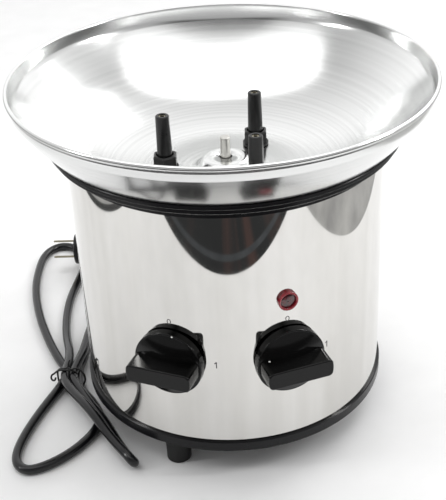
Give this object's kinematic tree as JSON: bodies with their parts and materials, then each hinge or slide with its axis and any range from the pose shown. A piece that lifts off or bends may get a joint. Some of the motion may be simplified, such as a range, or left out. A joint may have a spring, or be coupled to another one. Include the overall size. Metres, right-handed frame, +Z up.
{
  "type": "cotton candy machine",
  "caption": "Table-top candy floss machine: wide spun bowl with a motor spindle and heater posts on a mirror-polished drum, two bar-grip knobs and a tied power cord.",
  "frame": {"origin": "on the table, under the centre of the drum", "axes": "+Z up along the spindle, -Y towards the knobs, +X to the right seen from the knobs"},
  "size_m": [0.2961, 0.3211, 0.23],
  "materials": {
    "polished_steel": "mirror polished sheet",
    "spun_aluminium": "bright spun sheet",
    "black_trim": "satin black moulding",
    "black_knob": "glossy black moulding",
    "black_phenolic": "satin black moulding",
    "ground_steel": "ground steel",
    "zinc_steel": "zinc plated",
    "brass": "turned brass",
    "rubber": "black rubber",
    "cord_black": "black flexible jacket",
    "red_lens": "clear red",
    "varnished_wire": "varnished copper wire",
    "wire_jacket": "white wire jacket",
    "tie_black": "black coated wire",
    "cast_plate": "die cast"
  },
  "bodies": {
    "machine": {"base_pan": "black_trim", "bearing_lower": "brass", "bearing_upper": "brass", "bowl": "spun_aluminium", "bowl_spacers": "zinc_steel", "chassis_leg_1": "zinc_steel", "chassis_leg_2": "zinc_steel", "chassis_leg_3": "zinc_steel", "cord_gland": "rubber", "cord_hank": "cord_black", "deck_nuts": "zinc_steel", "deck_plate": "zinc_steel", "drum_shell": "polished_steel", "foot_front": "rubber", "foot_rear": "rubber", "foot_right": "rubber", "foot_screws": "zinc_steel", "heat_harness": "wire_jacket", "heat_switch": "black_phenolic", "heater_post_1": "black_phenolic", "heater_post_2": "black_phenolic", "heater_post_3": "black_phenolic", "lamp_bezel": "red_lens", "lamp_body": "black_phenolic", "lamp_lens": "red_lens", "lamp_nut": "zinc_steel", "leg_screws": "zinc_steel", "mains_lead": "cord_black", "motor_bolts": "zinc_steel", "motor_coils": "varnished_wire", "motor_harness": "wire_jacket", "motor_mounts": "rubber", "motor_plate_lower": "cast_plate", "motor_plate_upper": "cast_plate", "motor_stator": "ground_steel", "motor_switch": "black_phenolic", "plug_blades": "brass", "plug_body": "black_phenolic", "plug_lead": "cord_black", "post_collar_1": "black_phenolic", "post_collar_2": "black_phenolic", "post_collar_3": "black_phenolic", "post_studs": "zinc_steel", "post_terminals": "brass", "power_cord": "cord_black", "switch_nuts": "zinc_steel", "terminal_block": "black_phenolic", "thermal_cutout": "black_phenolic", "top_ring": "black_trim", "twist_tie": "tie_black"},
    "spindle": {"spindle": "ground_steel", "rotor": "ground_steel", "cooling_fan": "black_phenolic", "spindle_slinger": "rubber"},
    "motor_knob": {"motor_knob": "black_knob", "motor_switch_spindle": "ground_steel"},
    "heat_knob": {"heat_knob": "black_knob", "heat_switch_spindle": "ground_steel"}
  },
  "joints": [
    {"name": "spindle_spin", "type": "hinge", "parent": "machine", "child": "spindle", "pos_m": [0, 0, 0.1], "axis": [0, 0, 1], "continuous": true},
    {"name": "motor_knob_turn", "type": "hinge", "parent": "machine", "child": "motor_knob", "pos_m": [-0.03818, -0.10156, 0.086], "axis": [-0.3518, -0.9361, 0], "range_deg": [-90, 90]},
    {"name": "heat_knob_turn", "type": "hinge", "parent": "machine", "child": "heat_knob", "pos_m": [0.03818, -0.10156, 0.086], "axis": [0.3518, -0.9361, 0], "range_deg": [-180, 0]}
  ]
}
